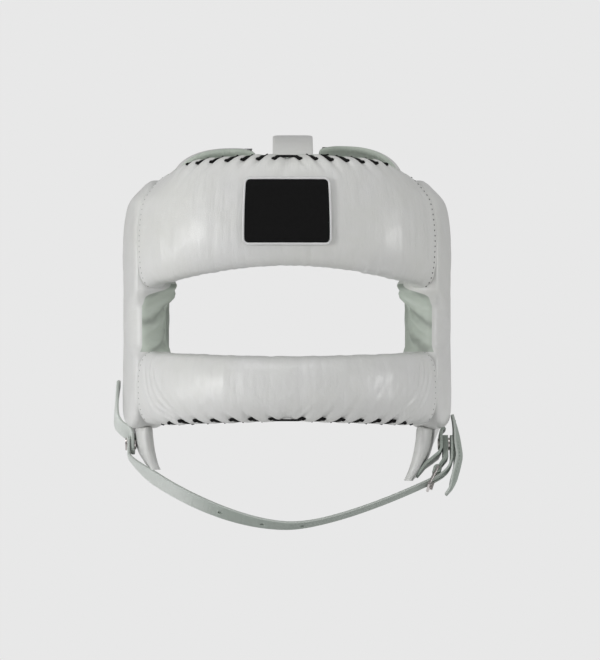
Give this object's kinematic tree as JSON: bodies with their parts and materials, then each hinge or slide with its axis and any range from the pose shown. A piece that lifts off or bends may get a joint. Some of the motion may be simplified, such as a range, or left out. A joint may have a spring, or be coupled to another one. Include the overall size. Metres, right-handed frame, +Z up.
{
  "type": "boxing headgear with face bar",
  "caption": "Padded leather boxing headgear with a wide face bar across the front, laced back and crown, and a chin strap with a buckle at one side.",
  "frame": {"origin": "centre of the head cavity, level with the eye opening", "axes": "-Y forwards, out of the face; +Z up; +X to the right as seen from the front, where the buckle is"},
  "size_m": [0.2476, 0.2716, 0.2784],
  "materials": {
    "leather": "soft semi-gloss",
    "lining": "matte",
    "strap": "satin",
    "lace": "matte",
    "patch": "woven matte",
    "foam": "matte",
    "rod": "matte",
    "eyelet": "gloss",
    "metal": "polished"
  },
  "bodies": {
    "guard": {"brow_cover": "leather", "brow_foam": "foam", "brow_lining": "lining", "brow_lace": "lace", "brow_patch": "patch", "bar_cover": "leather", "bar_foam": "foam", "bar_rod": "rod", "bar_lace": "lace", "side_cover_left": "leather", "side_foam_left": "foam", "side_lining_left": "lining", "side_cover_right": "leather", "side_foam_right": "foam", "side_lining_right": "lining", "jaw_flap_left": "leather", "jaw_foam_left": "foam", "jaw_flap_right": "leather", "jaw_foam_right": "foam", "back_pad_left": "leather", "back_foam_left": "foam", "back_pad_right": "leather", "back_foam_right": "foam", "nape_pad_left": "leather", "nape_foam_left": "foam", "nape_pad_right": "leather", "nape_foam_right": "foam", "back_facing_left": "leather", "back_facing_right": "leather", "nape_facing_left": "leather", "nape_facing_right": "leather", "back_eyelets": "eyelet", "nape_eyelets": "eyelet", "back_lace": "lace", "nape_lace": "lace", "back_tongue": "lining", "nape_tongue": "lining", "crown_strap": "leather", "crown_flap_left": "leather", "crown_flap_right": "leather", "crown_eyelets": "eyelet", "crown_lace": "lace", "strap_tab": "strap", "tab_rivet": "metal", "buckle_backing": "strap", "buckle_guard": "strap", "loop_rivet": "metal"},
    "chin_strap": {"chin_strap": "strap", "buckle_loop": "strap", "buckle_frame": "metal"},
    "prong": {"buckle_prong": "metal"}
  },
  "joints": [
    {"name": "chin_strap_swing", "type": "hinge", "parent": "guard", "child": "chin_strap", "pos_m": [0, -0.048, -0.095], "axis": [1, 0, 0], "range_deg": [-33, 38]},
    {"name": "prong_lift", "type": "hinge", "parent": "chin_strap", "child": "prong", "pos_m": [0.1055, -0.05361, -0.11336], "axis": [0, -0.9563, 0.2924], "range_deg": [0, 45]}
  ]
}
